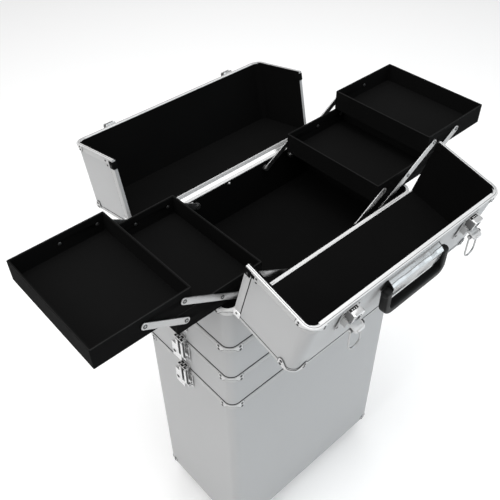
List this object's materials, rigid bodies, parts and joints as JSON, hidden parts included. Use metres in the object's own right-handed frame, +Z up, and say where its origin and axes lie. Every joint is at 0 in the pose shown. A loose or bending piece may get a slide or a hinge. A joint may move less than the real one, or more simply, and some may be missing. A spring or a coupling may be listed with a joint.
{
  "type": "rolling makeup case",
  "caption": "Wheeled hard makeup case: deep bin, stacked lift-off trays and a split-lid top case whose cantilever trays fan out sideways; telescopic pull handle.",
  "frame": {"origin": "on the floor under the centre of the case panels", "axes": "+Z up, +X along the case length to the picture's right, -Y towards the front lid with the carry handle"},
  "size_m": [0.707, 0.4921, 0.7446],
  "materials": {
    "panel": "satin silver-grey faced board",
    "lining": "matte black flocked lining",
    "edge_aluminium": "satin anodised",
    "bright_metal": "bright plated",
    "arm_steel": "brushed",
    "tray_black": "matte black covered board",
    "grip_black": "moulded black",
    "button_grey": "moulded grey",
    "fork_black": "black painted",
    "rubber": "matte"
  },
  "bodies": {
    "trunk": {"bin_walls": "panel", "lower_tray_walls": "panel", "middle_tray_walls": "panel", "top_case_walls": "panel", "top_case_lining": "lining", "stack_rims": "edge_aluminium", "top_case_rim": "edge_aluminium", "corner_clips": "bright_metal", "bottom_corner_guards": "bright_metal", "hinge_base_leaves": "arm_steel", "arm_pivot_studs": "arm_steel", "side_latch_bases": "bright_metal", "side_latch_keepers": "bright_metal", "wheel_forks": "fork_black", "wheel_axles": "arm_steel", "front_feet": "rubber", "pull_handle_outer_tubes": "edge_aluminium", "pull_handle_brackets": "grip_black"},
    "front_lid": {"front_lid_shell": "panel", "front_lid_lining": "lining", "front_lid_rim": "edge_aluminium", "front_lid_corner_clips": "bright_metal", "front_hinge_lid_leaves": "arm_steel", "carry_handle_plate": "bright_metal", "lid_latch_bases": "bright_metal"},
    "rear_lid": {"rear_lid_shell": "panel", "rear_lid_lining": "lining", "rear_lid_rim": "edge_aluminium", "rear_lid_corner_clips": "bright_metal", "rear_hinge_lid_leaves": "arm_steel", "lid_latch_catches": "bright_metal"},
    "carry_handle": {"carry_handle_grip": "grip_black"},
    "pull_handle": {"pull_handle_inner_tubes": "edge_aluminium", "pull_handle_grip": "grip_black"},
    "pull_button": {"pull_handle_button": "button_grey"},
    "left_lid_latch_lever": {"left_lid_latch_lever": "bright_metal"},
    "left_lid_latch_bail": {"left_lid_latch_bail": "bright_metal"},
    "right_lid_latch_lever": {"right_lid_latch_lever": "bright_metal"},
    "right_lid_latch_bail": {"right_lid_latch_bail": "bright_metal"},
    "left_long_arms": {"left_long_arms": "arm_steel"},
    "left_lower_arms": {"left_lower_arms": "arm_steel"},
    "left_upper_arms": {"left_upper_arms": "arm_steel"},
    "left_inner_tray": {"left_inner_tray": "tray_black"},
    "left_outer_tray": {"left_outer_tray": "tray_black"},
    "right_long_arms": {"right_long_arms": "arm_steel"},
    "right_lower_arms": {"right_lower_arms": "arm_steel"},
    "right_upper_arms": {"right_upper_arms": "arm_steel"},
    "right_inner_tray": {"right_inner_tray": "tray_black"},
    "right_outer_tray": {"right_outer_tray": "tray_black"},
    "left_upper_latch_lever": {"left_upper_latch_lever": "bright_metal"},
    "left_middle_latch_lever": {"left_middle_latch_lever": "bright_metal"},
    "left_bottom_latch_lever": {"left_bottom_latch_lever": "bright_metal"},
    "right_upper_latch_lever": {"right_upper_latch_lever": "bright_metal"},
    "right_middle_latch_lever": {"right_middle_latch_lever": "bright_metal"},
    "right_bottom_latch_lever": {"right_bottom_latch_lever": "bright_metal"},
    "left_wheel": {"left_wheel_tyre": "rubber", "left_wheel_hub": "button_grey"},
    "right_wheel": {"right_wheel_tyre": "rubber", "right_wheel_hub": "button_grey"}
  },
  "joints": [
    {"name": "front_lid_hinge", "type": "hinge", "parent": "trunk", "child": "front_lid", "pos_m": [0, -0.10625, 0.641], "axis": [-1, 0, 0], "range_deg": [0, 26]},
    {"name": "rear_lid_hinge", "type": "hinge", "parent": "trunk", "child": "rear_lid", "pos_m": [0, 0.10625, 0.641], "axis": [1, 0, 0], "range_deg": [0, 22]},
    {"name": "carry_handle_swing", "type": "hinge", "parent": "front_lid", "child": "carry_handle", "pos_m": [0, -0.2375, 0.69212], "axis": [-1, 0, 0], "range_deg": [-12, 85]},
    {"name": "left_lid_latch_swing", "type": "hinge", "parent": "front_lid", "child": "left_lid_latch_lever", "pos_m": [-0.112, -0.23494, 0.69125], "axis": [-1, 0, 0], "range_deg": [-28, 35]},
    {"name": "left_lid_bail_swing", "type": "hinge", "parent": "left_lid_latch_lever", "child": "left_lid_latch_bail", "pos_m": [-0.112, -0.2436, 0.68625], "axis": [-1, 0, 0], "range_deg": [-5, 145]},
    {"name": "right_lid_latch_swing", "type": "hinge", "parent": "front_lid", "child": "right_lid_latch_lever", "pos_m": [0.112, -0.23494, 0.69125], "axis": [-1, 0, 0], "range_deg": [-28, 35]},
    {"name": "right_lid_bail_swing", "type": "hinge", "parent": "right_lid_latch_lever", "child": "right_lid_latch_bail", "pos_m": [0.112, -0.2436, 0.68625], "axis": [-1, 0, 0], "range_deg": [-5, 145]},
    {"name": "left_tray_fold", "type": "hinge", "parent": "trunk", "child": "left_long_arms", "pos_m": [-0.124, 0, 0.6298], "axis": [0, 1, 0], "range_deg": [0, 118.38]},
    {"name": "left_lower_arm_pivot", "type": "hinge", "parent": "trunk", "child": "left_lower_arms", "pos_m": [-0.0695, 0, 0.6298], "axis": [0, 1, 0], "range_deg": [0, 118.38]},
    {"name": "left_inner_tray_pivot", "type": "hinge", "parent": "left_long_arms", "child": "left_inner_tray", "pos_m": [-0.178, 0, 0.662], "axis": [0, 1, 0], "range_deg": [-118.38, 0]},
    {"name": "left_outer_tray_pivot", "type": "hinge", "parent": "left_long_arms", "child": "left_outer_tray", "pos_m": [-0.232, 0, 0.6942], "axis": [0, 1, 0], "range_deg": [-118.38, 0]},
    {"name": "left_upper_arm_pivot", "type": "hinge", "parent": "left_inner_tray", "child": "left_upper_arms", "pos_m": [-0.2325, 0, 0.662], "axis": [0, 1, 0], "range_deg": [0, 118.38]},
    {"name": "right_tray_fold", "type": "hinge", "parent": "trunk", "child": "right_long_arms", "pos_m": [0.124, 0, 0.6298], "axis": [0, -1, 0], "range_deg": [0, 118.38]},
    {"name": "right_lower_arm_pivot", "type": "hinge", "parent": "trunk", "child": "right_lower_arms", "pos_m": [0.0695, 0, 0.6298], "axis": [0, -1, 0], "range_deg": [0, 118.38]},
    {"name": "right_inner_tray_pivot", "type": "hinge", "parent": "right_long_arms", "child": "right_inner_tray", "pos_m": [0.178, 0, 0.662], "axis": [0, -1, 0], "range_deg": [-118.38, 0]},
    {"name": "right_outer_tray_pivot", "type": "hinge", "parent": "right_long_arms", "child": "right_outer_tray", "pos_m": [0.232, 0, 0.6942], "axis": [0, -1, 0], "range_deg": [-118.38, 0]},
    {"name": "right_upper_arm_pivot", "type": "hinge", "parent": "right_inner_tray", "child": "right_upper_arms", "pos_m": [0.2325, 0, 0.662], "axis": [0, -1, 0], "range_deg": [0, 118.38]},
    {"name": "left_upper_latch_swing", "type": "hinge", "parent": "trunk", "child": "left_upper_latch_lever", "pos_m": [-0.18645, 0, 0.535], "axis": [0, -1, 0], "range_deg": [0, 100]},
    {"name": "left_middle_latch_swing", "type": "hinge", "parent": "trunk", "child": "left_middle_latch_lever", "pos_m": [-0.18645, 0, 0.47], "axis": [0, -1, 0], "range_deg": [0, 100]},
    {"name": "left_bottom_latch_swing", "type": "hinge", "parent": "trunk", "child": "left_bottom_latch_lever", "pos_m": [-0.18645, 0, 0.405], "axis": [0, -1, 0], "range_deg": [0, 100]},
    {"name": "right_upper_latch_swing", "type": "hinge", "parent": "trunk", "child": "right_upper_latch_lever", "pos_m": [0.18645, 0, 0.535], "axis": [0, 1, 0], "range_deg": [0, 100]},
    {"name": "right_middle_latch_swing", "type": "hinge", "parent": "trunk", "child": "right_middle_latch_lever", "pos_m": [0.18645, 0, 0.47], "axis": [0, 1, 0], "range_deg": [0, 100]},
    {"name": "right_bottom_latch_swing", "type": "hinge", "parent": "trunk", "child": "right_bottom_latch_lever", "pos_m": [0.18645, 0, 0.405], "axis": [0, 1, 0], "range_deg": [0, 100]},
    {"name": "left_wheel_spin", "type": "hinge", "parent": "trunk", "child": "left_wheel", "pos_m": [-0.14, 0.07, 0.02], "axis": [1, 0, 0], "continuous": true},
    {"name": "right_wheel_spin", "type": "hinge", "parent": "trunk", "child": "right_wheel", "pos_m": [0.14, 0.07, 0.02], "axis": [1, 0, 0], "continuous": true},
    {"name": "pull_handle_slide", "type": "slide", "parent": "trunk", "child": "pull_handle", "axis": [0, 0, 1], "range_m": [0, 0.165]},
    {"name": "pull_button_press", "type": "slide", "parent": "pull_handle", "child": "pull_button", "axis": [0, 0, -1], "range_m": [0, 0.004], "stiffness_N_per_m": 250, "springref_m": -0.002}
  ],
  "couplings": [
    {"joint": "left_lower_arm_pivot", "follows": "left_tray_fold", "ratio": 1},
    {"joint": "left_inner_tray_pivot", "follows": "left_tray_fold", "ratio": -1},
    {"joint": "left_outer_tray_pivot", "follows": "left_tray_fold", "ratio": -1},
    {"joint": "left_upper_arm_pivot", "follows": "left_tray_fold", "ratio": 1},
    {"joint": "right_lower_arm_pivot", "follows": "right_tray_fold", "ratio": 1},
    {"joint": "right_inner_tray_pivot", "follows": "right_tray_fold", "ratio": -1},
    {"joint": "right_outer_tray_pivot", "follows": "right_tray_fold", "ratio": -1},
    {"joint": "right_upper_arm_pivot", "follows": "right_tray_fold", "ratio": 1}
  ]
}
